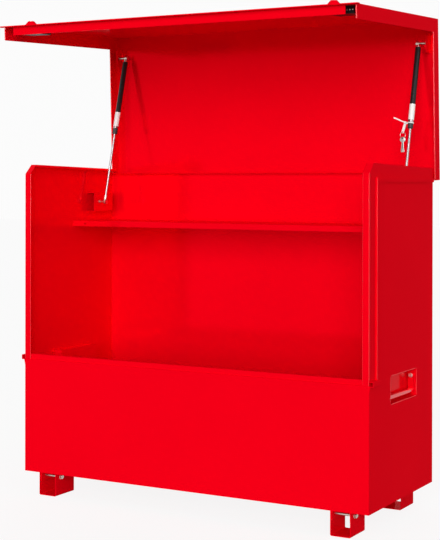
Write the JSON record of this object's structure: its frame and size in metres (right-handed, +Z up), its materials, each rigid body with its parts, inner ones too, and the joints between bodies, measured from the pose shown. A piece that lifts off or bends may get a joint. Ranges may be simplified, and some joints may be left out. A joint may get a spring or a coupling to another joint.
{
  "type": "steel storage chest",
  "caption": "Tall steel site chest on channel feet, with an L-shaped lift-up lid on gas struts, an inner rear shelf, lid locks and recessed drop handles.",
  "frame": {"origin": "centre of the whole footprint with the lid raised, on the floor under the feet", "axes": "+X to the right seen from the front, +Y from the front panel towards the back panel, +Z up"},
  "size_m": [1.556, 0.8088, 1.8981],
  "materials": {
    "red_paint": "glossy red powder coat",
    "zinc": "bright zinc plate",
    "nickel": "nickel plate, lightly worn",
    "chrome": "polished hard chrome",
    "black_paint": "satin black paint",
    "lock_black": "satin black paint on pressed steel",
    "black_plastic": "moulded black plastic",
    "white_plastic": "white plastic"
  },
  "bodies": {
    "chest": {"floor_pan": "red_paint", "front_panel": "red_paint", "back_panel": "red_paint", "shelf": "red_paint", "shelf_cleats": "red_paint", "guard_strips": "red_paint", "corner_tabs": "red_paint", "strut_mounts_low": "red_paint", "handle_bolts": "zinc", "side_panel_left": "red_paint", "side_panel_right": "red_paint", "handle_pocket_left": "red_paint", "handle_pocket_right": "red_paint", "foot_front_left": "red_paint", "foot_rear_left": "red_paint", "foot_front_right": "red_paint", "foot_rear_right": "red_paint", "foot_cleats": "red_paint", "foot_bolts": "zinc", "hinge_body_leaves": "red_paint", "hinge_pins": "zinc", "strut_studs_low": "zinc"},
    "lid": {"lid_shell": "red_paint", "lid_lip": "red_paint", "lid_return": "red_paint", "lid_side_left": "red_paint", "lid_side_right": "red_paint", "hinge_lid_leaves": "red_paint", "strut_mounts_up": "red_paint", "lock_guards": "red_paint", "lock_screws": "zinc", "lock_case_left": "lock_black", "lock_case_right": "lock_black"},
    "lock_barrel_left": {"lock_barrel_left": "nickel"},
    "lock_bolt_left": {"lock_bolt_left": "zinc"},
    "strut_rod_left": {"strut_socket_low_left": "zinc", "strut_rod_left": "chrome"},
    "strut_cylinder_left": {"strut_tube_left": "black_paint", "strut_guide_left": "black_plastic", "strut_ring_left": "chrome", "strut_label_left": "white_plastic", "strut_socket_up_left": "zinc", "strut_stud_up_left": "zinc"},
    "handle_left": {"handle_left": "red_paint"},
    "lock_barrel_right": {"lock_barrel_right": "nickel"},
    "lock_bolt_right": {"lock_bolt_right": "zinc"},
    "strut_rod_right": {"strut_socket_low_right": "zinc", "strut_rod_right": "chrome"},
    "strut_cylinder_right": {"strut_tube_right": "black_paint", "strut_guide_right": "black_plastic", "strut_ring_right": "chrome", "strut_label_right": "white_plastic", "strut_socket_up_right": "zinc", "strut_stud_up_right": "zinc", "cable_tie": "white_plastic"},
    "handle_right": {"handle_right": "red_paint"},
    "key_bunch": {"key_strap": "white_plastic", "key_ring": "nickel", "keys": "nickel"}
  },
  "joints": [
    {"name": "lid_hinge", "type": "hinge", "parent": "chest", "child": "lid", "pos_m": [0, 0.35328, 1.2793], "axis": [1, 0, 0], "range_deg": [0, 87.88]},
    {"name": "strut_swing_left", "type": "hinge", "parent": "chest", "child": "strut_rod_left", "pos_m": [-0.6943, 0.19578, 1.172], "axis": [1, 0, 0], "range_deg": [0, 84.94]},
    {"name": "strut_slide_left", "type": "slide", "parent": "strut_rod_left", "child": "strut_cylinder_left", "axis": [0, -0.2429, -0.97], "range_m": [0, 0.26338]},
    {"name": "lock_turn_left", "type": "hinge", "parent": "lid", "child": "lock_barrel_left", "pos_m": [-0.662, -0.34532, 1.86936], "axis": [0, -0.037, 0.9993], "range_deg": [0, 90.5]},
    {"name": "lock_slide_left", "type": "slide", "parent": "lid", "child": "lock_bolt_left", "axis": [-1, 0, 0], "range_m": [0, 0.014]},
    {"name": "handle_swing_left", "type": "hinge", "parent": "chest", "child": "handle_left", "pos_m": [-0.74, 0.05378, 0.527], "axis": [0, 1, 0], "range_deg": [0, 90]},
    {"name": "strut_swing_right", "type": "hinge", "parent": "chest", "child": "strut_rod_right", "pos_m": [0.6943, 0.19578, 1.172], "axis": [1, 0, 0], "range_deg": [0, 84.94]},
    {"name": "strut_slide_right", "type": "slide", "parent": "strut_rod_right", "child": "strut_cylinder_right", "axis": [0, -0.2429, -0.97], "range_m": [0, 0.26338]},
    {"name": "lock_turn_right", "type": "hinge", "parent": "lid", "child": "lock_barrel_right", "pos_m": [0.662, -0.34532, 1.86936], "axis": [0, 0.037, -0.9993], "range_deg": [0, 90.5]},
    {"name": "lock_slide_right", "type": "slide", "parent": "lid", "child": "lock_bolt_right", "axis": [1, 0, 0], "range_m": [0, 0.014]},
    {"name": "handle_swing_right", "type": "hinge", "parent": "chest", "child": "handle_right", "pos_m": [0.74, 0.05378, 0.527], "axis": [0, -1, 0], "range_deg": [0, 90]},
    {"name": "key_swing", "type": "hinge", "parent": "strut_cylinder_right", "child": "key_bunch", "pos_m": [0.67193, 0.27526, 1.48934], "axis": [-0.924, 0.0929, 0.3709], "range_deg": [-30, 45]}
  ],
  "couplings": [
    {"joint": "strut_swing_left", "follows": "lid_hinge", "ratio": 0.96593},
    {"joint": "strut_slide_left", "follows": "lid_hinge", "m_per_rad": 0.17159},
    {"joint": "lock_turn_left", "follows": "lock_slide_left", "rad_per_m": 112.19},
    {"joint": "strut_swing_right", "follows": "lid_hinge", "ratio": 0.96593},
    {"joint": "strut_slide_right", "follows": "lid_hinge", "m_per_rad": 0.17159},
    {"joint": "lock_turn_right", "follows": "lock_slide_right", "rad_per_m": 112.19}
  ]
}
